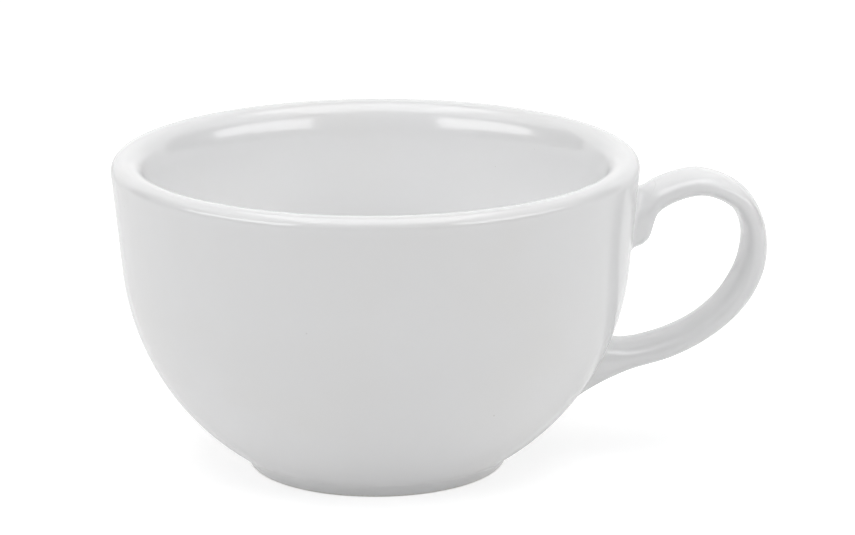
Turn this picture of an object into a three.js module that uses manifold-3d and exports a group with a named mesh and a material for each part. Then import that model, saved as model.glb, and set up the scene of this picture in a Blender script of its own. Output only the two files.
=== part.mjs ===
// A glazed cup: a turned bowl on a low foot ring, with a pressed ear handle stuck on with slip.
// Millimetres, +Z up. The origin is under the middle of the whole cup, on the surface it stands on.
import * as THREE from 'three';
import { mergeVertices } from 'three/addons/utils/BufferGeometryUtils.js';
import Module from 'manifold-3d';

const wasm = await Module();
wasm.setup();

// Bowl
const RIM_DIAMETER = 105;
const CUP_HEIGHT = 63.2;
const WALL_DRAFT_DEG = 5.3;
const STRAIGHT_WALL = 20;
const LIP_OUTER_RADIUS = 2.4;
const LIP_INNER_RADIUS = 3.2;
const LIP_TAPER_RADIUS = 33;
const LIP_TAPER_START_DEG = 67;
const INNER_DRAFT_DEG = 8;
const INNER_BELLY_RADIUS = 35;
const BASE_THICKNESS = 4.5;
const RECESS_RISE = 1;

// Foot ring
const FOOT_DIAMETER = 52;
const FOOT_HEIGHT = 2;
const FOOT_FLARE = 0.3;
const FOOT_RING_WIDTH = 5.4;
const FOOT_EDGE_RADIUS = 0.8;
const FOOT_LAND_MARGIN = 0.6;

// Handle
const HANDLE_DROP = 4.6;
const HANDLE_REACH = 23.6;
const HANDLE_HEIGHT = 46;
const STRAP_WIDTH = 12;
const ROOT_WIDTH = 13.5;
const CROWN_THICKNESS = 4.85;
const BEND_THICKNESS = 4.7;
const GRIP_THICKNESS = 5.2;
const TAIL_THICKNESS = 4.85;
const UPPER_ROOT_DEPTH = 9.9;
const LOWER_ROOT_DEPTH = 9.1;
const UPPER_ROOT_STANDOFF = 2;
const LOWER_ROOT_STANDOFF = 1.3;
const ROOT_EMBED = 4.5;
const SECTION_POWER = 2.8;
const ROOT_FLARE_POWER = 3;

// Slip joints
const SLIP_THICKNESS = 0.8;
const SLIP_BEAD = 0.5;
const SLIP_CLEARANCE = 0.3;

// Facets
const TURN_SEGMENTS = 72;
const BELLY_STEPS = 10;
const LIP_STEPS = 5;
const EDGE_STEPS = 3;
const RECESS_STEPS = 4;
const STRAP_STEPS_PER_STATION = 4;
const SECTION_SIDES = 24;

// The ear's shape from the upper root to the lower root: how far out as a share of the reach, how far
// down as a share of the handle's height, the lean of the section in degrees, and its thickness.
const EAR_STATIONS = [
  { out: 0.177, down: 0.115, lean: 3, thickness: 1.26 * CROWN_THICKNESS },
  { out: 0.541, down: 0.06, lean: 5, thickness: CROWN_THICKNESS },
  { out: 0.866, down: 0.13, lean: 34, thickness: BEND_THICKNESS },
  { out: 1.001, down: 0.257, lean: 62, thickness: BEND_THICKNESS },
  { out: 1.002, down: 0.411, lean: 87, thickness: GRIP_THICKNESS },
  { out: 0.913, down: 0.53, lean: 113, thickness: GRIP_THICKNESS },
  { out: 0.771, down: 0.627, lean: 138, thickness: TAIL_THICKNESS },
  { out: 0.55, down: 0.718, lean: 153, thickness: 0.96 * TAIL_THICKNESS },
  { out: 0.271, down: 0.786, lean: 165, thickness: TAIL_THICKNESS },
  { out: -0.069, down: 0.829, lean: 176, thickness: 1.13 * TAIL_THICKNESS },
];
const UPPER_ROOT = {
  down: 0.207,
  lean: -8,
  dip: 2.2,
  depth: UPPER_ROOT_DEPTH,
  standoff: UPPER_ROOT_STANDOFF,
};
const LOWER_ROOT = {
  down: 0.851,
  lean: 188,
  dip: 1.1,
  depth: LOWER_ROOT_DEPTH,
  standoff: LOWER_ROOT_STANDOFF,
};

// Points of a turned profile lie in (radius, height)
const rimRadius = RIM_DIAMETER / 2;
const draft = THREE.MathUtils.degToRad(WALL_DRAFT_DEG);
const wallNormal = new THREE.Vector2(Math.cos(draft), -Math.sin(draft));
const wallDown = new THREE.Vector2(-Math.sin(draft), -Math.cos(draft));
const innerDraft = THREE.MathUtils.degToRad(INNER_DRAFT_DEG);
const innerNormal = new THREE.Vector2(Math.cos(innerDraft), -Math.sin(innerDraft));
const innerDown = new THREE.Vector2(-Math.sin(innerDraft), -Math.cos(innerDraft));
const RIGHT_ANGLE = Math.PI / 2;

// Outer wall: lip arc, drafted straight wall, then one belly arc that runs into the top of the foot ring
const lipCentre = new THREE.Vector2(rimRadius - LIP_OUTER_RADIUS, CUP_HEIGHT - LIP_OUTER_RADIUS);
const wallTop = lipCentre.clone().addScaledVector(wallNormal, LIP_OUTER_RADIUS);
const wallEnd = wallTop.clone().addScaledVector(wallDown, STRAIGHT_WALL);
const footRadius = FOOT_DIAMETER / 2;
const footTop = new THREE.Vector2(footRadius + FOOT_FLARE, FOOT_HEIGHT);
const bellyChord = footTop.clone().sub(wallEnd);
const bellyRadius = -bellyChord.lengthSq() / (2 * bellyChord.dot(wallNormal));
const bellyCentre = wallEnd.clone().addScaledVector(wallNormal, -bellyRadius);

// Inner wall: a lip arc that eases through a wide arc into a drafted wall, and an arc that runs flat
// into the floor
const innerLipCentre = new THREE.Vector2(lipCentre.x, CUP_HEIGHT - LIP_INNER_RADIUS);
const taperStart = RIGHT_ANGLE + THREE.MathUtils.degToRad(LIP_TAPER_START_DEG);
const taperSpoke = new THREE.Vector2(Math.cos(taperStart), Math.sin(taperStart));
const taperCentre = innerLipCentre.clone().addScaledVector(taperSpoke, LIP_INNER_RADIUS - LIP_TAPER_RADIUS);
const innerWallTop = taperCentre.clone().addScaledVector(innerNormal, -LIP_TAPER_RADIUS);
const floorHeight = FOOT_HEIGHT + BASE_THICKNESS;
const innerBellyHeight = floorHeight + INNER_BELLY_RADIUS;
const innerWallEndHeight = innerBellyHeight + INNER_BELLY_RADIUS * innerNormal.y;
const innerWallLength = (innerWallEndHeight - innerWallTop.y) / innerDown.y;
const innerWallEnd = innerWallTop.clone().addScaledVector(innerDown, innerWallLength);
const innerBellyCentre = innerWallEnd.clone().addScaledVector(innerNormal, -INNER_BELLY_RADIUS);

const footInnerRadius = footRadius - FOOT_RING_WIDTH;
const recessRadius = footInnerRadius - FOOT_LAND_MARGIN;

const glaze = { color: 0xf1f1f2, roughness: 0.12, metalness: 0 };
const wipedFoot = { color: 0xebeae6, roughness: 0.45, metalness: 0 };

function arc(centre, radius, fromAngle, toAngle, steps) {
  const points = [];
  for (let i = 0; i <= steps; i += 1) {
    const angle = fromAngle + ((toAngle - fromAngle) * i) / steps;
    const spoke = new THREE.Vector2(Math.cos(angle), Math.sin(angle));
    points.push(centre.clone().addScaledVector(spoke, radius));
  }
  return points;
}

// The outer wall from the foot up to the crest of the lip, moved outwards by a distance
function outerWall(offset) {
  const fromFoot = footTop.clone().sub(bellyCentre).angle() - 2 * Math.PI;
  const belly = arc(bellyCentre, bellyRadius + offset, fromFoot, -draft, BELLY_STEPS);
  const lip = arc(lipCentre, LIP_OUTER_RADIUS + offset, -draft, RIGHT_ANGLE, LIP_STEPS);
  return [...belly, ...lip];
}

// The inner wall from the crest of the lip down to the floor
function innerWall() {
  const lip = arc(innerLipCentre, LIP_INNER_RADIUS, RIGHT_ANGLE, taperStart, LIP_STEPS);
  const taper = arc(taperCentre, LIP_TAPER_RADIUS, taperStart, Math.PI - innerDraft, LIP_STEPS);
  const belly = arc(innerBellyCentre, INNER_BELLY_RADIUS, -innerDraft, -RIGHT_ANGLE, BELLY_STEPS);
  return [...lip.slice(1), ...taper.slice(1), ...belly];
}

function outerRadiusAt(height) {
  if (height > wallEnd.y) return wallEnd.x + (height - wallEnd.y) * Math.tan(draft);
  return bellyCentre.x + Math.sqrt(bellyRadius ** 2 - (height - bellyCentre.y) ** 2);
}

// A geometry with shared vertices, without the slivers that a turned profile leaves on its axis
function weld(geometry) {
  const bare = geometry.clone();
  bare.deleteAttribute('normal');
  bare.deleteAttribute('uv');
  const welded = mergeVertices(bare);
  const kept = [];
  const index = welded.index.array;
  for (let i = 0; i < index.length; i += 3) {
    const [a, b, c] = [index[i], index[i + 1], index[i + 2]];
    if (a !== b && b !== c && c !== a) kept.push(a, b, c);
  }
  welded.setIndex(kept);
  return welded;
}

function turn(profile) {
  const lathe = new THREE.LatheGeometry(profile, TURN_SEGMENTS);
  return weld(lathe.rotateX(RIGHT_ANGLE));
}

function solid(geometry) {
  const vertProperties = new Float32Array(geometry.attributes.position.array);
  const triVerts = new Uint32Array(geometry.index.array);
  return new wasm.Manifold(new wasm.Mesh({ numProp: 3, vertProperties, triVerts }));
}

function geometryOf(manifold) {
  const mesh = manifold.getMesh();
  const geometry = new THREE.BufferGeometry();
  geometry.setAttribute('position', new THREE.BufferAttribute(mesh.vertProperties, mesh.numProp));
  geometry.setIndex(new THREE.BufferAttribute(mesh.triVerts, 1));
  return geometry;
}

function piece(name, geometry, finish) {
  geometry.computeVertexNormals();
  const mesh = new THREE.Mesh(geometry, new THREE.MeshStandardMaterial(finish));
  mesh.name = name;
  return mesh;
}

function bowlGeometry() {
  const recess = [];
  for (let i = 0; i <= RECESS_STEPS; i += 1) {
    const share = i / RECESS_STEPS;
    recess.push(new THREE.Vector2(recessRadius * share, FOOT_HEIGHT + RECESS_RISE * (1 - share ** 2)));
  }
  const floorCentre = new THREE.Vector2(0, floorHeight);
  return turn([...recess, ...outerWall(0), ...innerWall(), floorCentre]);
}

function footRingGeometry() {
  const innerEdge = new THREE.Vector2(footInnerRadius + FOOT_EDGE_RADIUS, FOOT_EDGE_RADIUS);
  const outerEdge = new THREE.Vector2(footRadius - FOOT_EDGE_RADIUS, FOOT_EDGE_RADIUS);
  const profile = [
    ...arc(innerEdge, FOOT_EDGE_RADIUS, Math.PI, 3 * RIGHT_ANGLE, EDGE_STEPS),
    ...arc(outerEdge, FOOT_EDGE_RADIUS, -RIGHT_ANGLE, 0, EDGE_STEPS),
    footTop,
    new THREE.Vector2(footInnerRadius, FOOT_HEIGHT),
  ];
  return turn([...profile, profile[0]]);
}

// The bowl's outer form without its hollow, moved outwards: what the handle's roots are cut back from
function bowlEnvelope(offset) {
  const wall = outerWall(offset);
  const below = new THREE.Vector2(0, wall[0].y);
  const above = new THREE.Vector2(0, wall[wall.length - 1].y);
  return solid(turn([below, ...wall, above]));
}

// Sections of the strap: a centre in the plane of the handle, a lean and a thickness
function handleSections() {
  const top = CUP_HEIGHT - HANDLE_DROP;
  const root = ({ down, lean, dip, depth, standoff }) => {
    const height = top - down * HANDLE_HEIGHT;
    const inside = height - dip;
    const atWall = { x: outerRadiusAt(height) + standoff, z: height, lean, thickness: depth };
    const embedded = { x: outerRadiusAt(inside) - ROOT_EMBED, z: inside, lean, thickness: depth };
    return { atWall, embedded };
  };
  const upper = root(UPPER_ROOT);
  const lower = root(LOWER_ROOT);
  const loop = EAR_STATIONS.map(({ out, down, lean, thickness }) => ({
    x: rimRadius + out * HANDLE_REACH,
    z: top - down * HANDLE_HEIGHT,
    lean,
    thickness,
  }));
  return [upper.embedded, upper.atWall, ...loop, lower.atWall, lower.embedded];
}

// One edge of the strap as a curve in the plane of the handle: side 1 is the outer edge, -1 the inner
function strapEdge(sections, side, grow) {
  const points = sections.map(({ x, z, lean, thickness }) => {
    const angle = THREE.MathUtils.degToRad(lean);
    const reach = side * (thickness / 2 + grow);
    return new THREE.Vector3(x + reach * Math.sin(angle), 0, z + reach * Math.cos(angle));
  });
  return new THREE.CatmullRomCurve3(points);
}

function roundedPower(value) {
  return Math.sign(value) * Math.abs(value) ** (2 / SECTION_POWER);
}

// The strap between two shares of its length, grown all round, as one closed loft of oval sections
function strapGeometry(from, to, grow) {
  const sections = handleSections();
  const outer = strapEdge(sections, 1, grow);
  const inner = strapEdge(sections, -1, grow);
  const rings = Math.ceil((to - from) * (sections.length - 1) * STRAP_STEPS_PER_STATION);
  const positions = [];
  const index = [];
  const ends = [];
  for (let i = 0; i <= rings; i += 1) {
    const share = from + ((to - from) * i) / rings;
    const outerPoint = outer.getPoint(share);
    const innerPoint = inner.getPoint(share);
    const centre = outerPoint.clone().add(innerPoint).multiplyScalar(0.5);
    const half = outerPoint.clone().sub(innerPoint).multiplyScalar(0.5);
    const flare = Math.abs(2 * share - 1) ** ROOT_FLARE_POWER;
    const halfWidth = (STRAP_WIDTH + (ROOT_WIDTH - STRAP_WIDTH) * flare) / 2 + grow;
    ends.push(centre);
    for (let j = 0; j < SECTION_SIDES; j += 1) {
      const angle = (2 * Math.PI * j) / SECTION_SIDES;
      const point = centre.clone().addScaledVector(half, roundedPower(Math.cos(angle)));
      point.y += halfWidth * roundedPower(Math.sin(angle));
      positions.push(...point.toArray());
    }
  }
  const firstCentre = positions.length / 3;
  positions.push(...ends[0].toArray(), ...ends[rings].toArray());
  const lastRing = rings * SECTION_SIDES;
  for (let j = 0; j < SECTION_SIDES; j += 1) {
    const next = (j + 1) % SECTION_SIDES;
    for (let i = 0; i < rings; i += 1) {
      const [a, b] = [i * SECTION_SIDES + j, i * SECTION_SIDES + next];
      const [c, d] = [a + SECTION_SIDES, b + SECTION_SIDES];
      index.push(a, c, b, b, c, d);
    }
    index.push(firstCentre, j, next);
    index.push(firstCentre + 1, lastRing + next, lastRing + j);
  }
  const geometry = new THREE.BufferGeometry();
  geometry.setAttribute('position', new THREE.Float32BufferAttribute(positions, 3));
  geometry.setIndex(index);
  return geometry;
}

const slipInside = bowlEnvelope(SLIP_CLEARANCE);
const slipOutside = bowlEnvelope(SLIP_CLEARANCE + SLIP_THICKNESS);
const handleSeat = bowlEnvelope(SLIP_THICKNESS + 2 * SLIP_CLEARANCE);

function handleGeometry() {
  return geometryOf(solid(strapGeometry(0, 1, 0)).subtract(handleSeat));
}

// A skin of slip that follows the wall under one root and stands out round it as a bead
function slipGeometry(from, to) {
  const root = solid(strapGeometry(from, to, SLIP_BEAD));
  return geometryOf(root.intersect(slipOutside).subtract(slipInside));
}

// The share of the strap's length that covers one root: the first two of its spans
const rootShare = 2 / (handleSections().length - 1);
const handle = handleGeometry();
handle.computeBoundingBox();

const cup = new THREE.Group();
cup.add(piece('bowl', bowlGeometry(), glaze));
cup.add(piece('foot_ring', footRingGeometry(), wipedFoot));
cup.add(piece('handle', handle, glaze));
cup.add(piece('upper_slip_joint', slipGeometry(0, rootShare), glaze));
cup.add(piece('lower_slip_joint', slipGeometry(1 - rootShare, 1), glaze));
cup.position.x = (rimRadius - handle.boundingBox.max.x) / 2;

const part = new THREE.Group();
part.add(cup);

export default part;
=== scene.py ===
"""A white glazed cup: a turned bowl on a wiped foot ring, with an ear handle bedded in slip."""

import logging
import math
from dataclasses import dataclass, field
from enum import Enum
from typing import Any, Iterable, Sequence

import bpy
import numpy as np
from bpy.types import ID, Material, NodeSocket, NodeTree, Object
from mathutils import Matrix, Vector


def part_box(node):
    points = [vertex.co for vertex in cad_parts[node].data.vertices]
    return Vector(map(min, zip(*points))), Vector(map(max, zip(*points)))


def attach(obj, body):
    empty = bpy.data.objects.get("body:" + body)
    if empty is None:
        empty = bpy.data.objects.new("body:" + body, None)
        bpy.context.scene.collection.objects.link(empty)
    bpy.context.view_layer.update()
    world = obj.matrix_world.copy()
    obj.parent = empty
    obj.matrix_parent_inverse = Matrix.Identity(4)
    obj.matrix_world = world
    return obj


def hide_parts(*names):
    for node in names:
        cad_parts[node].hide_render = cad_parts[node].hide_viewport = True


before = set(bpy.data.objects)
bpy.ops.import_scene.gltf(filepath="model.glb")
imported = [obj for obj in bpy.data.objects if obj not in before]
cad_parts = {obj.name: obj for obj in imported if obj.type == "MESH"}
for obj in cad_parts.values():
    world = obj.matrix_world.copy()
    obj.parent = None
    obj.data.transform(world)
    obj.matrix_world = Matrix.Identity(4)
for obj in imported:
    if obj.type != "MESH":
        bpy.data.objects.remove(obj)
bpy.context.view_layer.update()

LOG = logging.getLogger("cup")
MM = 0.001
IMAGE_WIDTH = 855
SENSOR_WIDTH = 36.0
ON_AXIS = 1e-9
NOISE_MIDDLE = 0.5

Point = tuple[float, float]
Colour = tuple[float, float, float, float]
Operand = Any


class Root(Enum):
    """The two places where the handle meets the wall."""

    UPPER = "upper"
    LOWER = "lower"


class Node(Enum):
    """The solids that the dressed pieces stand for."""

    BOWL = "bowl"
    FOOT_RING = "foot_ring"
    HANDLE = "handle"
    UPPER_SLIP = "upper_slip_joint"
    LOWER_SLIP = "lower_slip_joint"


class Slot(Enum):
    """The record's material slots."""

    GLAZE = "white_glaze"
    FOOT = "wiped_foot"


class Value:
    """A node socket that takes part in Python expressions."""

    def __init__(self, graph: "NodeGraph", socket: NodeSocket | None) -> None:
        """Keep the graph and the socket."""
        self.graph = graph
        self.socket = socket

    def other(self, output: str) -> "Value":
        """Return another output of the same node."""
        return Value(self.graph, self.socket.node.outputs[output])

    def _math(self, operation: str, *operands: Operand) -> "Value":
        """Add a Math node and return its result."""
        sockets = dict(enumerate(operands))
        return self.graph.node("ShaderNodeMath", {"operation": operation}, sockets)

    def __add__(self, right: Operand) -> "Value":
        """Return self + right."""
        return self._math("ADD", self, right)

    def __radd__(self, left: Operand) -> "Value":
        """Return left + self."""
        return self._math("ADD", left, self)

    def __sub__(self, right: Operand) -> "Value":
        """Return self - right."""
        return self._math("SUBTRACT", self, right)

    def __rsub__(self, left: Operand) -> "Value":
        """Return left - self."""
        return self._math("SUBTRACT", left, self)

    def __mul__(self, right: Operand) -> "Value":
        """Return self * right."""
        return self._math("MULTIPLY", self, right)

    def __rmul__(self, left: Operand) -> "Value":
        """Return left * self."""
        return self._math("MULTIPLY", left, self)

    def __gt__(self, right: Operand) -> "Value":
        """Return 1 where self is over right, else 0."""
        return self._math("GREATER_THAN", self, right)

    def largest(self, right: Operand) -> "Value":
        """Return the larger of self and right."""
        return self._math("MAXIMUM", self, right)

    def ramp(self, start: float, end: float) -> "Value":
        """Return a smooth step from 0 at start to 1 at end.

        Args:
            start: the value that gives 0.
            end: the value that gives 1, above or below start.

        Returns:
            The stepped value.
        """
        settings = {"interpolation_type": "SMOOTHSTEP"}
        sockets = {"Value": self, "From Min": min(start, end), "From Max": max(start, end)}
        step = self.graph.node("ShaderNodeMapRange", settings, sockets)
        return step if end > start else 1 - step


class NodeGraph:
    """A node tree that is built from typed nodes and Python expressions."""

    def __init__(self, tree: NodeTree) -> None:
        """Empty the tree and keep it."""
        tree.nodes.clear()
        self.tree = tree

    @classmethod
    def of_material(cls, name: str) -> tuple["NodeGraph", Material]:
        """Make a material and its graph.

        Args:
            name: the material's name.

        Returns:
            The graph and the material.
        """
        material = bpy.data.materials.new(name)
        material.use_nodes = True
        return cls(material.node_tree), material

    def node(
        self,
        kind: str,
        settings: dict[str, Any] | None = None,
        sockets: dict[str | int, Operand] | None = None,
        output: str | int = 0,
    ) -> Value:
        """Add one node.

        Args:
            kind: the node's type.
            settings: its properties, which are set before its sockets.
            sockets: numbers, colours or links for its inputs, by name or index.
            output: the output to return.

        Returns:
            The chosen output.
        """
        made = self.tree.nodes.new(kind)
        for name, setting in (settings or {}).items():
            setattr(made, name, setting)
        for key, given in (sockets or {}).items():
            if isinstance(given, Value):
                self.tree.links.new(given.socket, made.inputs[key])
            else:
                made.inputs[key].default_value = given
        if not made.outputs:
            return Value(self, None)
        return Value(self, made.outputs[output])

    def place(self) -> Value:
        """Return the position on the object, in metres."""
        return self.node("ShaderNodeTexCoord", output="Object")

    def noise(self, place: Value, size_mm: float, detail: float = 2.0) -> Value:
        """Return a soft noise from 0 to 1, with clouds of a width and octaves of detail."""
        sockets = {"Vector": place, "Scale": 1 / (size_mm * MM), "Detail": detail}
        return self.node("ShaderNodeTexNoise", {}, sockets)

    def blend(self, factor: Operand, first: Operand, second: Operand) -> Value:
        """Return a mix of two colours, where factor is the share of the second."""
        sockets = {0: factor, 6: first, 7: second}
        return self.node("ShaderNodeMix", {"data_type": "RGBA"}, sockets, 2)

    def bump(self, height_mm: Value) -> Value:
        """Return the normal of a relief whose height is in millimetres."""
        sockets = {"Strength": 1.0, "Distance": MM, "Height": height_mm}
        return self.node("ShaderNodeBump", {}, sockets)

    def surface(self, shader: Value) -> None:
        """Link a shader to the material's output."""
        self.node("ShaderNodeOutputMaterial", {}, {"Surface": shader})


def colour(red: float, green: float, blue: float) -> Colour:
    """Return an opaque linear colour."""
    return (red, green, blue, 1.0)


@dataclass(frozen=True)
class Patches:
    """Soft patches: their width, their detail and the noise where they start and are full."""

    width_mm: float
    detail: float
    start: float
    full: float

    def mask(self, graph: NodeGraph, place: Value) -> Value:
        """Return 0 outside the patches and 1 inside them."""
        return graph.noise(place, self.width_mm, self.detail).ramp(self.start, self.full)


@dataclass(frozen=True)
class WhiteGlaze:
    """Clear gloss glaze over a white body: even, with slow waves and a few fired specks."""

    thick: Colour = colour(0.925, 0.927, 0.932)
    thin: Colour = colour(0.917, 0.914, 0.909)
    speck: Colour = colour(0.52, 0.5, 0.47)
    refraction: float = 1.6
    smooth: float = 0.12
    rubbed: float = 0.17
    wave_mm: float = 0.03
    wave_width_mm: float = 26.0
    wave_detail: float = 1.0
    peel_mm: float = 0.0008
    peel_width_mm: float = 1.6
    speck_spacing_mm: float = 9.0
    speck_radius_mm: float = 0.2
    speck_core: float = 0.4
    speck_share: float = 0.6
    speck_tint: float = 0.6
    pit_mm: float = 0.02
    thinner: Patches = Patches(34.0, 3.0, start=0.45, full=0.75)
    handled: Patches = Patches(12.0, 4.0, start=0.4, full=0.8)

    def speckle(self, graph: NodeGraph, place: Value) -> Value:
        """Scatter the fired specks.

        Args:
            graph: the graph to add to.
            place: the coordinates.

        Returns:
            A mask that is 1 in a speck.
        """
        sockets = {"Vector": place, "Scale": 1 / (self.speck_spacing_mm * MM)}
        near = graph.node("ShaderNodeTexVoronoi", {"feature": "F1"}, sockets, "Distance")
        lot = graph.node("ShaderNodeSeparateColor", {}, {0: near.other("Color")})
        radius = self.speck_radius_mm / self.speck_spacing_mm
        return near.ramp(radius, self.speck_core * radius) * (lot > 1 - self.speck_share)

    def relief(self, graph: NodeGraph, place: Value, specks: Value) -> Value:
        """Return the height of the glaze's waves, peel and pits, in millimetres."""
        wave = graph.noise(place, self.wave_width_mm, self.wave_detail) * self.wave_mm
        return wave + graph.noise(place, self.peel_width_mm) * self.peel_mm - specks * self.pit_mm

    def tone(self, graph: NodeGraph, place: Value, specks: Value) -> Value:
        """Return the glaze's colour, with its thinner clouds and its specks."""
        even = graph.blend(self.thinner.mask(graph, place), self.thick, self.thin)
        return graph.blend(specks * self.speck_tint, even, self.speck)

    def gloss(self, graph: NodeGraph, place: Value) -> Value:
        """Return the glaze's roughness."""
        return self.smooth + self.handled.mask(graph, place) * (self.rubbed - self.smooth)

    def material(self) -> Material:
        """Make the glaze.

        Returns:
            The material for the glazed pieces.
        """
        graph, material = NodeGraph.of_material(Slot.GLAZE.value)
        place = graph.place()
        specks = self.speckle(graph, place)
        sockets = {
            "Base Color": self.tone(graph, place, specks),
            "Roughness": self.gloss(graph, place),
            "IOR": self.refraction,
            "Normal": graph.bump(self.relief(graph, place, specks)),
        }
        graph.surface(graph.node("ShaderNodeBsdfPrincipled", {}, sockets))
        return material


@dataclass(frozen=True)
class WipedFoot:
    """The glaze of the foot, wiped off its standing face down to the bare fired body."""

    glaze: WhiteGlaze = WhiteGlaze()
    bare: Colour = colour(0.79, 0.77, 0.73)
    scuff: Colour = colour(0.5, 0.49, 0.47)
    line_mm: float = 0.45
    line_wander_mm: float = 0.35
    line_wander_width_mm: float = 6.0
    line_soft_mm: float = 0.12
    bare_rough: float = 0.62
    grain_mm: float = 0.012
    grain_width_mm: float = 0.35
    grain_detail: float = 4.0
    grain_edges: tuple[float, float] = (0.3, 0.7)
    scuffs: Patches = Patches(2.5, 5.0, start=0.58, full=0.72)
    scuff_tint: float = 0.5

    def biscuit(self, graph: NodeGraph, place: Value, grain: Value) -> Value:
        """Return the colour of the bare body, with its grain and its scuffs."""
        body = graph.blend(grain.ramp(*self.grain_edges), self.bare, self.glaze.thin)
        return graph.blend(self.scuffs.mask(graph, place) * self.scuff_tint, body, self.scuff)

    def material(self) -> Material:
        """Make the wiped foot.

        Returns:
            The material for the foot ring.
        """
        graph, material = NodeGraph.of_material(Slot.FOOT.value)
        place = graph.place()
        height = graph.node("ShaderNodeSeparateXYZ", {}, {0: place}, "Z") * (1 / MM)
        wander = graph.noise(place, self.line_wander_width_mm) - NOISE_MIDDLE
        edge = height + wander * self.line_wander_mm
        wiped = edge.ramp(self.line_mm + self.line_soft_mm, self.line_mm)
        specks = self.glaze.speckle(graph, place)
        grain = graph.noise(place, self.grain_width_mm, self.grain_detail)
        biscuit = self.biscuit(graph, place, grain)
        gloss = self.glaze.gloss(graph, place)
        smooth_relief = self.glaze.relief(graph, place, specks) * (1 - wiped)
        sockets = {
            "Base Color": graph.blend(wiped, self.glaze.tone(graph, place, specks), biscuit),
            "Roughness": gloss * (1 - wiped) + wiped * self.bare_rough,
            "IOR": self.glaze.refraction,
            "Normal": graph.bump(smooth_relief + grain * wiped * self.grain_mm),
        }
        graph.surface(graph.node("ShaderNodeBsdfPrincipled", {}, sockets))
        return material


@dataclass(frozen=True)
class PaleSheet:
    """A matt white sheet that keeps the cup's shadow and shows as white. Its glow is painted light:
    the sheet shines on the cup's underside and foot though it is no lamp.
    """

    matt: Colour = colour(0.75, 0.75, 0.75)
    # painted light: a glow that every ray sees, so the sheet lights the cup from below though it is no
    # lamp
    glow: float = 0.095
    lift: float = 0.5
    mirrored: float = 0.6

    def shown(self, graph: NodeGraph) -> Value:
        """Tell the rays that show the sheet from those that only carry its light.

        Args:
            graph: the graph to add to.

        Returns:
            1 for rays from the camera, mirrored for a reflection or a clear body, else 0.
        """
        camera = graph.node("ShaderNodeLightPath", output="Is Camera Ray")
        reflected = camera.other("Is Glossy Ray").largest(camera.other("Is Transmission Ray"))
        return camera.largest(reflected * self.mirrored)

    def material(self, name: str) -> Material:
        """Make the sheet's surface.

        Args:
            name: the material's name.

        Returns:
            The material.
        """
        graph, material = NodeGraph.of_material(name)
        matt = graph.node("ShaderNodeBsdfDiffuse", {}, {"Color": self.matt})
        strength = self.glow + self.shown(graph) * self.lift
        glow = graph.node("ShaderNodeEmission", {}, {"Strength": strength})
        graph.surface(graph.node("ShaderNodeAddShader", {}, {0: matt, 1: glow}))
        return material


def arc(centre: Point, radius: float, start: float, end: float, steps: int) -> list[Point]:
    """Return points of an arc, its ends included, by angles in radians from outwards to up."""
    angles = np.linspace(start, end, steps + 1)
    return [(centre[0] + radius * math.cos(a), centre[1] + radius * math.sin(a)) for a in angles]


def line(start: Point, end: Point, steps: int) -> list[Point]:
    """Return evenly spaced points from start to end, both included."""
    width, rise = end[0] - start[0], end[1] - start[1]
    return [along(start, (width, rise), s) for s in np.linspace(0.0, 1.0, steps + 1)]


def along(start: Point, direction: Point, length: float) -> Point:
    """Return the point at a length from start in a direction."""
    return (start[0] + direction[0] * length, start[1] + direction[1] * length)


def bearing(start: Point, end: Point) -> float:
    """Return the angle from start to end, in radians from outwards to up."""
    return math.atan2(end[1] - start[1], end[0] - start[0])


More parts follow.
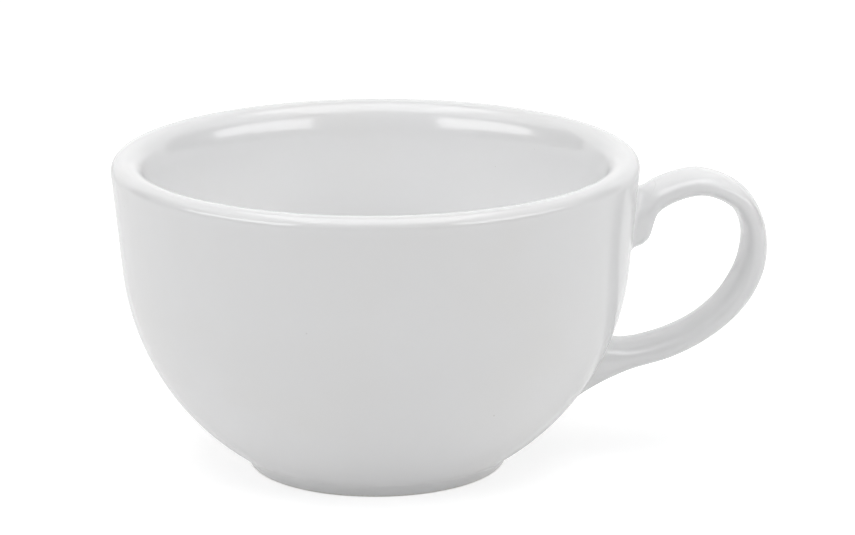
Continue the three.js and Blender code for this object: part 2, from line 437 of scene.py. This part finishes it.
@dataclass(frozen=True)
class CupForm:
    """The turned form of bowl and foot, in millimetres from axis and table, and in radians."""

    rim_radius: float = 52.485
    height: float = 63.2
    draft: float = math.radians(5.3)
    straight_wall: float = 20.0
    lip_outer_radius: float = 2.4
    lip_inner_radius: float = 4.1
    lip_taper_radius: float = 16.0
    lip_taper_start: float = math.radians(67.0)
    inner_draft: float = math.radians(8.0)
    inner_belly_radius: float = 35.0
    base_thickness: float = 4.5
    recess_rise: float = 1.0
    foot_radius: float = 26.0
    foot_height: float = 2.0
    foot_flare: float = 0.3
    foot_ring_width: float = 5.4
    foot_edge_radius: float = 0.8
    foot_land_margin: float = 0.6
    foot_fillet_radius: float = 7.0
    belly_steps: int = 64
    lip_steps: int = 18
    wall_steps: int = 12
    floor_steps: int = 8
    recess_steps: int = 16
    edge_steps: int = 8
    standing_steps: int = 10
    fillet_steps: int = 14

    @property
    def wall_normal(self) -> Point:
        """The outward normal of the straight outer wall."""
        return (math.cos(self.draft), -math.sin(self.draft))

    @property
    def lip_centre(self) -> Point:
        """The centre of the lip's outer arc."""
        return (self.rim_radius - self.lip_outer_radius, self.height - self.lip_outer_radius)

    @property
    def wall_top(self) -> Point:
        """Where the lip runs into the straight outer wall."""
        return along(self.lip_centre, self.wall_normal, self.lip_outer_radius)

    @property
    def wall_end(self) -> Point:
        """Where the straight outer wall runs into the belly."""
        down = (-math.sin(self.draft), -math.cos(self.draft))
        return along(self.wall_top, down, self.straight_wall)

    @property
    def foot_top(self) -> Point:
        """The outer edge of the seam between bowl and foot ring."""
        return (self.foot_radius + self.foot_flare, self.foot_height)

    @property
    def belly_radius(self) -> float:
        """The radius of the outer belly, tangent to the wall and through the seam of the foot."""
        chord = np.subtract(self.foot_top, self.wall_end)
        return float(-chord.dot(chord) / (2 * chord.dot(self.wall_normal)))

    @property
    def belly_centre(self) -> Point:
        """The centre of the outer belly."""
        return along(self.wall_end, self.wall_normal, -self.belly_radius)

    @property
    def foot_inner_radius(self) -> float:
        """The radius of the foot ring's inner side."""
        return self.foot_radius - self.foot_ring_width

    @property
    def floor_height(self) -> float:
        """The height of the floor inside the bowl."""
        return self.foot_height + self.base_thickness

    @property
    def foot_edge_centre(self) -> Point:
        """The centre of the foot's rounded outer edge."""
        return (self.foot_radius - self.foot_edge_radius, self.foot_edge_radius)

    @property
    def foot_fillet_centre(self) -> Point:
        """The centre of the hollow that is tangent to the foot's edge and to the belly."""
        span = np.subtract(self.foot_edge_centre, self.belly_centre)
        distance = float(np.linalg.norm(span))
        from_belly = self.belly_radius + self.foot_fillet_radius
        from_edge = self.foot_edge_radius + self.foot_fillet_radius
        ahead = (from_belly**2 - from_edge**2 + distance**2) / (2 * distance)
        aside = math.sqrt(from_belly**2 - ahead**2)
        down = (float(span[0]) / distance, float(span[1]) / distance)
        return along(along(self.belly_centre, down, ahead), (-down[1], down[0]), aside)

    def foot_fillet(self) -> list[Point]:
        """Draw the hollow between foot and belly.

        Returns:
            Its points, from the foot's edge up to the belly.
        """
        centre = self.foot_fillet_centre
        first = bearing(centre, self.foot_edge_centre)
        last = bearing(centre, self.belly_centre)
        return arc(centre, self.foot_fillet_radius, first, last, self.fillet_steps)

    def outer_wall(self) -> list[Point]:
        """Draw the outside of the bowl.

        Returns:
            Its points, from the hollow of the foot to the crest of the lip.
        """
        low = bearing(self.belly_centre, self.foot_fillet()[-1])
        belly = arc(self.belly_centre, self.belly_radius, low, -self.draft, self.belly_steps)
        wall = line(self.wall_end, self.wall_top, self.wall_steps)
        lip = arc(self.lip_centre, self.lip_outer_radius, -self.draft, math.pi / 2, self.lip_steps)
        return belly + wall[1:] + lip[1:]

    def inner_wall(self) -> list[Point]:
        """Draw the inside of the bowl.

        Returns:
            Its points, from the crest of the lip to the middle of the floor.
        """
        start = math.pi / 2 + self.lip_taper_start
        end = math.pi - self.inner_draft
        lip_centre = (self.lip_centre[0], self.height - self.lip_inner_radius)
        lip = arc(lip_centre, self.lip_inner_radius, math.pi / 2, start, self.lip_steps)
        spoke = (math.cos(start), math.sin(start))
        taper_centre = along(lip_centre, spoke, self.lip_inner_radius - self.lip_taper_radius)
        taper = arc(taper_centre, self.lip_taper_radius, start, end, self.lip_steps)
        top = taper[-1]
        belly_height = self.floor_height + self.inner_belly_radius
        drop = top[1] - (belly_height - self.inner_belly_radius * math.sin(self.inner_draft))
        wall_end = (top[0] - drop * math.tan(self.inner_draft), top[1] - drop)
        inset = self.inner_belly_radius * math.cos(self.inner_draft)
        belly_centre = (wall_end[0] - inset, belly_height)
        quarter = (-self.inner_draft, -math.pi / 2)
        belly = arc(belly_centre, self.inner_belly_radius, *quarter, self.belly_steps)
        wall = line(top, wall_end, self.wall_steps)
        floor = line(belly[-1], (0.0, self.floor_height), self.floor_steps)
        return lip[1:] + taper[1:] + wall[1:] + belly[1:] + floor[1:]

    def underside(self) -> list[Point]:
        """Draw the underside of the bowl.

        Returns:
            Its points, from the middle to the seam of the foot.
        """
        edge = self.foot_inner_radius - self.foot_land_margin
        shares = np.linspace(0.0, 1.0, self.recess_steps + 1)
        recess = [(edge * s, self.foot_height + self.recess_rise * (1 - s * s)) for s in shares]
        return recess + [(self.foot_inner_radius, self.foot_height)]

    def foot_section(self) -> list[Point]:
        """Draw the foot ring.

        Returns:
            The points of its closed section.
        """
        edge = self.foot_edge_radius
        inner_centre = (self.foot_inner_radius + edge, edge)
        inner = arc(inner_centre, edge, math.pi, 1.5 * math.pi, self.edge_steps)
        turn = bearing(self.foot_edge_centre, self.foot_fillet_centre)
        outer = arc(self.foot_edge_centre, edge, -math.pi / 2, turn, self.edge_steps)
        standing = line(inner[-1], outer[0], self.standing_steps)
        top = (self.foot_inner_radius, self.foot_height)
        return inner + standing[1:-1] + outer + self.foot_fillet()[1:] + [top]

    def gap(self, points: np.ndarray) -> np.ndarray:
        """Measure how far points lie outside the outer wall.

        Args:
            points: positions from the axis, in rows of x, y and z.

        Returns:
            The distances, negative inside the wall.
        """
        radius = np.hypot(points[..., 0], points[..., 1])
        height = points[..., 2]
        end = self.wall_end
        wall = (radius - end[0]) * self.wall_normal[0] + (height - end[1]) * self.wall_normal[1]
        middle = self.belly_centre
        belly = np.hypot(radius - middle[0], height - middle[1]) - self.belly_radius
        return np.where(height > end[1], wall, belly)

    def outward(self, points: np.ndarray) -> np.ndarray:
        """Find the wall's normals.

        Args:
            points: positions next to the wall, in rows of x, y and z.

        Returns:
            The outward normals there.
        """
        radius = np.hypot(points[..., 0], points[..., 1])
        middle = self.belly_centre
        from_belly = np.stack([radius - middle[0], points[..., 2] - middle[1]], -1)
        from_belly /= np.linalg.norm(from_belly, axis=-1, keepdims=True)
        straight = (points[..., 2] > self.wall_end[1])[..., None]
        turned = np.where(straight, self.wall_normal, from_belly)
        spoke = points[..., :2] / radius[..., None]
        return np.concatenate([spoke * turned[..., :1], turned[..., 1:]], -1)


@dataclass
class Mesh:
    """Vertices in millimetres from the bowl's axis, and faces."""

    vertices: list[Sequence[float]] = field(default_factory=list)
    faces: list[tuple[int, ...]] = field(default_factory=list)

    @classmethod
    def turned(cls, profile: Sequence[Point], segments: int, closed: bool) -> "Mesh":
        """Turn a profile about the axis.

        Args:
            profile: points of radius and height; one on the axis becomes a pole.
            segments: the number of segments round.
            closed: whether the last point joins the first.

        Returns:
            The turned mesh.
        """
        mesh = cls()
        turns = np.linspace(0.0, 2 * math.pi, segments, endpoint=False)
        rings: list[list[int]] = []
        for radius, height in profile:
            if radius < ON_AXIS:
                rings.append(mesh.add_ring([(0.0, 0.0, height)]) * segments)
                continue
            ring = ((radius * math.cos(t), radius * math.sin(t), height) for t in turns)
            rings.append(mesh.add_ring(ring))
        pairs = list(zip(rings, rings[1:]))
        if closed:
            pairs.append((rings[-1], rings[0]))
        for lower, upper in pairs:
            mesh.bridge(lower, upper)
        return mesh

    @classmethod
    def lofted(cls, sections: Sequence[np.ndarray], backwards: bool) -> "Mesh":
        """Loft a skin over sections of the strap, with a pole at each end.

        Args:
            sections: rings of points, in order.
            backwards: whether they run against the strap, towards its upper root.

        Returns:
            The lofted mesh.
        """
        mesh = cls()
        rings = [mesh.add_ring(s) for s in sections]
        ends = (sections[0], sections[-1])
        start, end = (mesh.add_ring([s.mean(0)]) * len(s) for s in ends)
        rings = [start, *rings, end]
        for near, far in zip(rings, rings[1:]):
            mesh.bridge(*((near, far) if backwards else (far, near)))
        return mesh

    def bridge(self, first: Sequence[int], second: Sequence[int]) -> None:
        """Join two rings of vertices with faces.

        Args:
            first: the indices of one ring, all alike at a pole.
            second: the indices of the other ring.
        """
        count = len(first)
        for i in range(count):
            j = (i + 1) % count
            corners = (first[i], first[j], second[j], second[i])
            self.faces.append(tuple(dict.fromkeys(corners)))

    def add_ring(self, points: Iterable[Sequence[float]]) -> list[int]:
        """Add a ring of vertices.

        Args:
            points: their places, in order.

        Returns:
            Their indices.
        """
        first = len(self.vertices)
        self.vertices.extend(tuple(float(c) for c in p) for p in points)
        return list(range(first, len(self.vertices)))

    def to_object(self, name: str, axis: Vector, sharp_deg: float) -> Object:
        """Make a smooth-shaded object.

        Args:
            name: the object's name.
            axis: a point on the bowl's axis, in metres.
            sharp_deg: edges that turn by more than this stay sharp.

        Returns:
            The object, linked to the scene.
        """
        data = bpy.data.meshes.new(name)
        placed = np.array(self.vertices) * MM + np.array(axis)
        data.from_pydata(placed.tolist(), [], self.faces)
        data.validate()
        data.shade_smooth()
        data.set_sharp_from_angle(angle=math.radians(sharp_deg))
        return in_scene(name, data)


def in_scene(name: str, data: ID) -> Object:
    """Make an object and link it to the scene.

    Args:
        name: the object's name.
        data: its mesh, lamp or camera.

    Returns:
        The object.
    """
    made = bpy.data.objects.new(name, data)
    bpy.context.scene.collection.objects.link(made)
    return made


def seat(piece: Object, node: Node, finish: Material) -> Object:
    """Dress a piece and let it stand for its solid.

    Args:
        piece: the dressed piece.
        node: the solid that it stands for.
        finish: its material.

    Returns:
        The piece.
    """
    piece.data.materials.append(finish)
    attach(piece, "root")
    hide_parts(node.value)
    return piece


@dataclass
class Bowl:
    """The turned bowl with its rolled lip."""

    form: CupForm
    axis: Vector
    segments: int = 256
    sharp_deg: float = 15.0

    def build(self) -> Object:
        """Turn the bowl.

        Returns:
            The bowl, from its underside over the lip to its floor.
        """
        profile = self.form.underside() + self.form.outer_wall() + self.form.inner_wall()
        mesh = Mesh.turned(profile, self.segments, closed=False)
        return mesh.to_object("glazed_bowl", self.axis, self.sharp_deg)

    def dress(self, piece: Object, finish: Material) -> Object:
        """Glaze the bowl."""
        return seat(piece, Node.BOWL, finish)


@dataclass
class FootRing:
    """The low ring that the cup stands on."""

    form: CupForm
    axis: Vector
    segments: int = 256
    sharp_deg: float = 40.0

    def build(self) -> Object:
        """Turn the ring."""
        mesh = Mesh.turned(self.form.foot_section(), self.segments, closed=True)
        return mesh.to_object("wiped_foot_ring", self.axis, self.sharp_deg)

    def dress(self, piece: Object, finish: Material) -> Object:
        """Glaze the ring and wipe its standing face."""
        return seat(piece, Node.FOOT_RING, finish)


@dataclass(frozen=True)
class Section:
    """One section of the strap, in the plane of the handle."""

    out: float
    height: float
    lean_deg: float
    thickness: float

    def edge(self, side: int) -> Point:
        """Find one edge of the section.

        Args:
            side: 1 for the outer edge, -1 for the inner one.

        Returns:
            Its distance from the axis and its height.
        """
        lean = math.radians(self.lean_deg)
        reach = side * self.thickness / 2
        return (self.out + reach * math.sin(lean), self.height + reach * math.cos(lean))


@dataclass(frozen=True)
class EarStation:
    """A section of the ear as shares: out of the reach, down of the handle's height."""

    out: float
    down: float
    lean_deg: float
    thickness: float


@dataclass(frozen=True)
class EarRoot:
    """The end of the ear that is bedded in the wall."""

    down: float
    lean_deg: float
    dip: float
    depth: float
    standoff: float


@dataclass(frozen=True)
class EarForm:
    """The ear handle: a strap of oval section that runs from its upper root to its lower root."""

    form: CupForm
    rim_radius: float = 52.5
    drop: float = 4.6
    reach: float = 23.58
    height: float = 46.0
    strap_width: float = 12.0
    root_width: float = 13.5
    root_embed: float = 4.5
    section_power: float = 2.5
    flare_power: float = 3.0
    upper: EarRoot = EarRoot(down=0.207, lean_deg=-8.0, dip=2.2, depth=9.9, standoff=2.0)
    lower: EarRoot = EarRoot(down=0.851, lean_deg=188.0, dip=1.1, depth=9.1, standoff=1.3)
    stations: tuple[EarStation, ...] = (
        EarStation(0.177, 0.115, 3.0, 6.111),
        EarStation(0.541, 0.06, 5.0, 4.85),
        EarStation(0.866, 0.13, 34.0, 4.7),
        EarStation(1.001, 0.257, 62.0, 4.7),
        EarStation(1.002, 0.411, 87.0, 5.2),
        EarStation(0.913, 0.53, 113.0, 5.2),
        EarStation(0.771, 0.627, 138.0, 4.85),
        EarStation(0.55, 0.718, 153.0, 4.656),
        EarStation(0.271, 0.786, 165.0, 4.85),
        EarStation(-0.069, 0.829, 176.0, 5.4805),
    )

    @property
    def top(self) -> float:
        """The height that the shares run down from."""
        return self.form.height - self.drop

    def wall_radius(self, height: float) -> float:
        """Measure the bowl.

        Args:
            height: a height above the table.

        Returns:
            The bowl's outer radius there.
        """
        end = self.form.wall_end
        if height > end[1]:
            return end[0] + (height - end[1]) * math.tan(self.form.draft)
        across = height - self.form.belly_centre[1]
        return self.form.belly_centre[0] + math.sqrt(self.form.belly_radius**2 - across**2)

    def root_sections(self, root: EarRoot) -> tuple[Section, Section]:
        """Place one root.

        Args:
            root: the root's sizes.

        Returns:
            The section inside the wall and the one just outside it.
        """
        height = self.top - root.down * self.height
        inside = height - root.dip
        buried_out = self.wall_radius(inside) - self.root_embed
        buried = Section(buried_out, inside, root.lean_deg, root.depth)
        clear_out = self.wall_radius(height) + root.standoff
        at_wall = Section(clear_out, height, root.lean_deg, root.depth)
        return buried, at_wall

    def sections(self) -> list[Section]:
        """Place all sections.

        Returns:
            The sections, from the upper root to the lower root.
        """
        loop = [
            Section(
                self.rim_radius + s.out * self.reach,
                self.top - s.down * self.height,
                s.lean_deg,
                s.thickness,
            )
            for s in self.stations
        ]
        upper_in, upper_out = self.root_sections(self.upper)
        lower_in, lower_out = self.root_sections(self.lower)
        return [upper_in, upper_out, *loop, lower_out, lower_in]

    @property
    def root_share(self) -> float:
        """The share of the strap's length that holds one root."""
        return 2 / (len(self.sections()) - 1)


class EdgeCurve:
    """A centripetal curve through the points of one edge of the strap."""

    def __init__(self, points: Sequence[Point]) -> None:
        """Keep the points, with one more beyond each end.

        Args:
            points: distances from the axis and heights.
        """
        given = np.array(points)
        before = 2 * given[0] - given[1]
        after = 2 * given[-1] - given[-2]
        self.points = np.vstack([before, given, after])
        self.spans = len(given) - 1

    def at(self, shares: np.ndarray) -> np.ndarray:
        """Evaluate the curve.

        Args:
            shares: positions from 0 to 1, an equal part for each span.

        Returns:
            Points of distance from the axis and height.
        """
        run = np.clip(shares, 0.0, 1.0) * self.spans
        span = np.minimum(run.astype(int), self.spans - 1)
        t = (run - span)[..., None]
        p0, p1, p2, p3 = (self.points[span + k] for k in range(4))
        steps = (p1 - p0, p2 - p1, p3 - p2)
        d0, d1, d2 = (np.sqrt(np.linalg.norm(s, axis=-1, keepdims=True)) for s in steps)
        start = ((p1 - p0) / d0 - (p2 - p0) / (d0 + d1) + (p2 - p1) / d1) * d1
        end = ((p2 - p1) / d1 - (p3 - p1) / (d1 + d2) + (p3 - p2) / d2) * d1
        square = 3 * (p2 - p1) - 2 * start - end
        cube = 2 * (p1 - p2) + start + end
        return p1 + start * t + square * t**2 + cube * t**3


class Strap:
    """The skin of the ear: points by their share of its length and their angle round it."""

    HALVINGS = 48

    def __init__(self, ear: EarForm, sides: int) -> None:
        """Draw the two edge curves and the turns of the section.

        Args:
            ear: the sizes of the handle.
            sides: the number of points round the section.
        """
        sections = ear.sections()
        self.ear = ear
        self.outer = EdgeCurve([s.edge(1) for s in sections])
        self.inner = EdgeCurve([s.edge(-1) for s in sections])
        turns = np.linspace(0.0, 2 * math.pi, sides, endpoint=False)
        power = 2 / ear.section_power
        self.across = np.sign(np.cos(turns)) * np.abs(np.cos(turns)) ** power
        self.aside = np.sign(np.sin(turns)) * np.abs(np.sin(turns)) ** power

    def skin(self, shares: np.ndarray) -> np.ndarray:
        """Place one point on each line of the skin.

        Args:
            shares: the share of the length for each of the lines.

        Returns:
            Positions from the bowl's axis, in rows of x, y and z.
        """
        outer = self.outer.at(shares)
        inner = self.inner.at(shares)
        middle = (outer + inner) / 2
        half = (outer - inner) / 2
        flare = np.abs(2 * shares - 1) ** self.ear.flare_power
        width = self.ear.strap_width + (self.ear.root_width - self.ear.strap_width) * flare
        flat = middle + half * self.across[:, None]
        return np.stack([flat[:, 0], width / 2 * self.aside, flat[:, 1]], -1)

    def shares_at_gap(self, root: Root, gap: float | np.ndarray) -> np.ndarray:
        """Find where the lines of the skin come to a distance from the wall.

        Args:
            root: the root to look at.
            gap: the distance outside the wall, for all lines or for each.

        Returns:
            The share of the length for each line.
        """
        upper = root is Root.UPPER
        buried = np.full(len(self.across), 0.0 if upper else 1.0)
        clear = np.full(len(self.across), self.ear.root_share if upper else 1 - self.ear.root_share)
        for _ in range(self.HALVINGS):
            middle = (buried + clear) / 2
            outside = self.ear.form.gap(self.skin(middle)) > gap
            clear = np.where(outside, middle, clear)
            buried = np.where(outside, buried, middle)
        return (buried + clear) / 2


@dataclass(frozen=True)
class Ease:
    """One side of a fillet: how far it starts from the wall and how far it runs along it."""

    setback: float
    reach: float


@dataclass(frozen=True)
class RootFillet:
    """The fillet of slip round one root of the handle."""

    strap: Strap
    root: Root
    above: Ease
    below: Ease
    beside: Ease = Ease(setback=0.7, reach=0.9)
    sink: float = 0.012
    steps: int = 20
    look_back: float = 0.002
    least_slope: float = 0.35

    def corner(self) -> np.ndarray:
        """Return the ring where the handle's skin meets the wall."""
        return self.strap.skin(self.strap.shares_at_gap(self.root, 0.0))

    def away(self) -> np.ndarray:
        """Find the directions along the wall that lead away from the root.

        Returns:
            One direction for each line of the skin.
        """
        corner = self.corner()
        normal = self.strap.ear.form.outward(corner)
        side = corner - corner.mean(0)
        side -= normal * np.sum(side * normal, -1, keepdims=True)
        ahead = np.roll(corner, -1, 0) - np.roll(corner, 1, 0)
        away = np.cross(ahead, normal)
        away *= np.sign(np.sum(away * side, -1, keepdims=True))
        return away / np.linalg.norm(away, axis=-1, keepdims=True)

    def blended(self, above: float, beside: float, below: float) -> np.ndarray:
        """Blend the values of the three sides by where each line lies round the root.

        Args:
            above: the value over the root.
            beside: the value at its sides.
            below: the value under it.

        Returns:
            The value for each line, in one column.
        """
        normal = self.strap.ear.form.outward(self.corner())
        up = np.array((0.0, 0.0, 1.0)) - normal * normal[:, 2:]
        rise = np.sum(self.away() * up, -1) / np.linalg.norm(up, axis=-1)
        over = np.maximum(rise, 0.0) ** 2
        under = np.maximum(-rise, 0.0) ** 2
        return (over * above + under * below + (1 - over - under) * beside)[:, None]

    def start(self) -> np.ndarray:
        """Return the share of the strap's length where the fillet begins, for each line."""
        setback = self.blended(self.above.setback, self.beside.setback, self.below.setback)
        return self.strap.shares_at_gap(self.root, setback[:, 0])

    def rings(self) -> list[np.ndarray]:
        """Draw the fillet.

        Returns:
            Its rings, the first one on the handle and the last one on the wall.
        """
        form = self.strap.ear.form
        start = self.start()
        on_handle = self.strap.skin(start)
        back = self.look_back if self.root is Root.UPPER else -self.look_back
        run = on_handle - self.strap.skin(start + back)
        run /= np.linalg.norm(run, axis=-1, keepdims=True)
        slope = np.maximum(-np.sum(run * form.outward(on_handle), -1), self.least_slope)
        pull = on_handle + run * (form.gap(on_handle) / slope)[:, None]
        reach = self.blended(self.above.reach, self.beside.reach, self.below.reach)
        on_wall = pull + self.away() * reach
        on_wall -= form.outward(on_wall) * (form.gap(on_wall)[:, None] + self.sink)
        drawn = []
        for share in np.linspace(0.0, 1.0, self.steps + 1):
            t = (1 - math.cos(math.pi * share)) / 2
            drawn.append((1 - t) ** 2 * on_handle + 2 * t * (1 - t) * pull + t**2 * on_wall)
        return drawn


@dataclass
class EarHandle:
    """The pressed ear between the fillets of its two roots."""

    strap: Strap
    axis: Vector
    upper: RootFillet
    lower: RootFillet
    rings: int = 180
    sharp_deg: float = 50.0

    def build(self) -> Object:
        """Loft the strap.

        Returns:
            The handle, closed at both ends.
        """
        first = self.upper.start()
        last = self.lower.start()
        shares = np.linspace(0.0, 1.0, self.rings + 1)
        sections = [self.strap.skin(first + (last - first) * s) for s in shares]
        mesh = Mesh.lofted(sections, backwards=False)
        return mesh.to_object("ear_handle", self.axis, self.sharp_deg)

    def dress(self, piece: Object, finish: Material) -> Object:
        """Glaze the handle."""
        return seat(piece, Node.HANDLE, finish)


@dataclass
class SlipJoint:
    """The slip that beds one root of the handle and eases it into the wall."""

    fillet: RootFillet
    axis: Vector
    bedded: float = 0.6
    sharp_deg: float = 50.0

    def build(self) -> Object:
        """Loft the fillet and its bed in the wall.

        Returns:
            The closed plug of slip.
        """
        sections = self.fillet.rings()
        wall = sections[-1]
        bed = wall - self.fillet.strap.ear.form.outward(wall) * self.bedded
        mesh = Mesh.lofted([*sections, bed], backwards=self.fillet.root is Root.UPPER)
        name = f"{self.fillet.root.value}_slip_fillet"
        return mesh.to_object(name, self.axis, self.sharp_deg)

    def dress(self, piece: Object, finish: Material) -> Object:
        """Glaze the slip."""
        node = Node.UPPER_SLIP if self.fillet.root is Root.UPPER else Node.LOWER_SLIP
        return seat(piece, node, finish)


@dataclass(frozen=True)
class Spot:
    """A place round the cup, by its heading from the camera, its elevation and its distance."""

    heading_deg: float
    elevation_deg: float
    distance: float

    def at(self, target: Vector, camera_heading: float) -> Vector:
        """Work out the place.

        Args:
            target: the point that the elevation and the distance are taken from.
            camera_heading: the camera's direction, in radians about up.

        Returns:
            The place in the scene.
        """
        heading = camera_heading + math.radians(self.heading_deg)
        rise = math.radians(self.elevation_deg)
        level = math.cos(rise)
        spoke = Vector((level * math.cos(heading), level * math.sin(heading), math.sin(rise)))
        return target + spoke * self.distance


@dataclass(frozen=True)
class Panel:
    """A soft lamp between the middles of its two ends, turned about that line to face the cup."""

    name: str
    first: Spot
    second: Spot
    depth: float
    radiance: float

    def place(self, target: Vector, camera_heading: float) -> None:
        """Hang the lamp.

        Args:
            target: the point that it faces.
            camera_heading: the camera's direction, in radians about up.
        """
        start = self.first.at(target, camera_heading)
        span = self.second.at(target, camera_heading) - start
        middle = start + span / 2
        along_span = span.normalized()
        to_cup = target - middle
        facing = (to_cup - along_span * to_cup.dot(along_span)).normalized()
        data = bpy.data.lights.new(self.name, "AREA")
        data.shape = "RECTANGLE"
        data.size = span.length
        data.size_y = self.depth
        data.energy = self.radiance * math.pi * span.length * self.depth
        axes = Matrix((along_span, along_span.cross(facing), -facing)).transposed().to_4x4()
        in_scene(self.name, data).matrix_world = Matrix.Translation(middle) @ axes


@dataclass(frozen=True)
class ViewPoint:
    """The photograph's camera, from the foot of the bowl's axis, in millimetres and radians."""

    distance: float = 770.0
    elevation: float = 0.3142435
    turn: float = math.radians(5.0)
    roll: float = -0.0025917
    focal_px: float = 3788.732
    aim_right: float = 10.26174
    aim_height: float = 39.75783
    near_clip_mm: float = 10.0

    def heading(self) -> float:
        """Return the camera's direction from the axis, in radians about up."""
        return -math.pi / 2 - self.turn

    def place(self, axis: Vector) -> None:
        """Set up the camera.

        Args:
            axis: a point on the bowl's axis, at the table.
        """
        level = self.distance * math.cos(self.elevation)
        side = Vector((math.cos(self.turn), -math.sin(self.turn), 0.0))
        back = Vector((-math.sin(self.turn), -math.cos(self.turn), 0.0))
        up = Vector((0.0, 0.0, 1.0))
        eye = axis + (back * level + up * (self.distance * math.sin(self.elevation))) * MM
        aim = axis + (side * self.aim_right + up * self.aim_height) * MM
        ahead = (aim - eye).normalized()
        right = ahead.cross(up).normalized()
        above = right.cross(ahead)
        rolled_right = right * math.cos(self.roll) + above * math.sin(self.roll)
        rolled_above = above * math.cos(self.roll) - right * math.sin(self.roll)
        data = bpy.data.cameras.new("photo_view")
        data.sensor_fit = "HORIZONTAL"
        data.sensor_width = SENSOR_WIDTH
        data.lens = self.focal_px * SENSOR_WIDTH / IMAGE_WIDTH
        data.clip_start = self.near_clip_mm * MM
        camera = in_scene("photo_view", data)
        turned = Matrix((rolled_right, rolled_above, -ahead)).transposed().to_4x4()
        camera.matrix_world = Matrix.Translation(eye) @ turned
        bpy.context.scene.camera = camera


@dataclass
class Studio:
    """The pale table, the white sheet behind it, the soft lamps, the dim room and the camera."""

    axis: Vector
    view: ViewPoint = ViewPoint()
    table: PaleSheet = PaleSheet()
    backdrop: PaleSheet = PaleSheet(lift=0.8, glow=0.0, mirrored=1.0)
    room: float = 0.02
    half_width: float = 4.0
    table_gap_mm: float = 0.02
    backdrop_distance: float = 1.6
    backdrop_height: float = 2.4
    target_height_mm: float = 40.0
    lamps: tuple[Panel, ...] = (
        Panel("top_light", Spot(180.0, 71.0, 1.26), Spot(0.0, 55.0, 1.45), depth=1.2, radiance=1.73),
        Panel("high_left", Spot(-90.0, 35.0, 1.2), Spot(-90.0, 75.0, 1.2), depth=1.2, radiance=0.76),
        Panel("high_right", Spot(90.0, 35.0, 1.2), Spot(90.0, 75.0, 1.2), depth=1.2, radiance=0.7),
        Panel("left_strip", Spot(-34.4, 23.5, 0.8), Spot(-88.5, 16.5, 1.8), depth=0.23, radiance=3.75),
        Panel("right_strip", Spot(34.4, 23.5, 0.8), Spot(91.4, 16.5, 1.8), depth=0.23, radiance=3.5),
    )

    def sheet(self, name: str, corners: Sequence[Vector], finish: PaleSheet) -> None:
        """Lay one flat sheet of the studio.

        Args:
            name: the sheet's name.
            corners: its corners in order.
            finish: its surface.
        """
        data = bpy.data.meshes.new(name)
        data.from_pydata([tuple(c) for c in corners], [], [tuple(range(len(corners)))])
        data.materials.append(finish.material(name))
        made = in_scene(name, data)

    def lay_table(self) -> None:
        """Lay the table just under the foot."""
        half = self.half_width
        low = -self.table_gap_mm * MM
        signs = ((-1, -1), (1, -1), (1, 1), (-1, 1))
        corners = [Vector((x * half, y * half, low)) for x, y in signs]
        self.sheet("pale_table", corners, self.table)

    def hang_backdrop(self) -> None:
        """Hang the white sheet behind the cup."""
        heading = self.view.heading() + math.pi
        back = Vector((math.cos(heading), math.sin(heading), 0.0))
        behind = self.axis + back * self.backdrop_distance
        across = Vector((-back.y, back.x, 0.0)) * self.half_width / 2
        up = Vector((0.0, 0.0, self.backdrop_height))
        corners = [behind - across, behind + across, behind + across + up, behind - across + up]
        self.sheet("white_backdrop", corners, self.backdrop)

    def surround(self) -> None:
        """Show white to the camera and keep the room dim for everything else."""
        world = bpy.data.worlds.new("dim_room")
        world.use_nodes = True
        bpy.context.scene.world = world
        graph = NodeGraph(world.node_tree)
        camera = graph.node("ShaderNodeLightPath", output="Is Camera Ray")
        sockets = {"Color": colour(1.0, 1.0, 1.0), "Strength": self.room + camera * (1 - self.room)}
        sky = graph.node("ShaderNodeBackground", {}, sockets)
        graph.node("ShaderNodeOutputWorld", {}, {"Surface": sky})

    def set_up(self) -> None:
        """Set up the whole studio."""
        bpy.context.scene.view_settings.view_transform = "Standard"
        self.lay_table()
        self.hang_backdrop()
        self.surround()
        target = self.axis + Vector((0.0, 0.0, self.target_height_mm * MM))
        for lamp in self.lamps:
            lamp.place(target, self.view.heading())
        self.view.place(self.axis)


def main() -> None:
    """Build the cup and the studio."""
    logging.basicConfig(level=logging.INFO)
    low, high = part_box(Node.BOWL.value)
    axis = Vector(((low.x + high.x) / 2, (low.y + high.y) / 2, 0.0))
    form = CupForm()
    glaze = WhiteGlaze().material()
    wiped = WipedFoot().material()
    strap = Strap(EarForm(form), sides=72)
    upper = RootFillet(
        strap, Root.UPPER, above=Ease(setback=4.0, reach=2.5), below=Ease(setback=1.4, reach=1.9)
    )
    lower = RootFillet(
        strap, Root.LOWER, above=Ease(setback=1.0, reach=1.2), below=Ease(setback=6.0, reach=8.0)
    )
    builders = (
        (Bowl(form, axis), glaze),
        (FootRing(form, axis), wiped),
        (EarHandle(strap, axis, upper, lower), glaze),
        (SlipJoint(upper, axis), glaze),
        (SlipJoint(lower, axis), glaze),
    )
    for builder, finish in builders:
        piece = builder.dress(builder.build(), finish)
        LOG.info("%s: %d faces", piece.name, len(piece.data.polygons))
    Studio(axis).set_up()


if __name__ == "__main__":
    main()
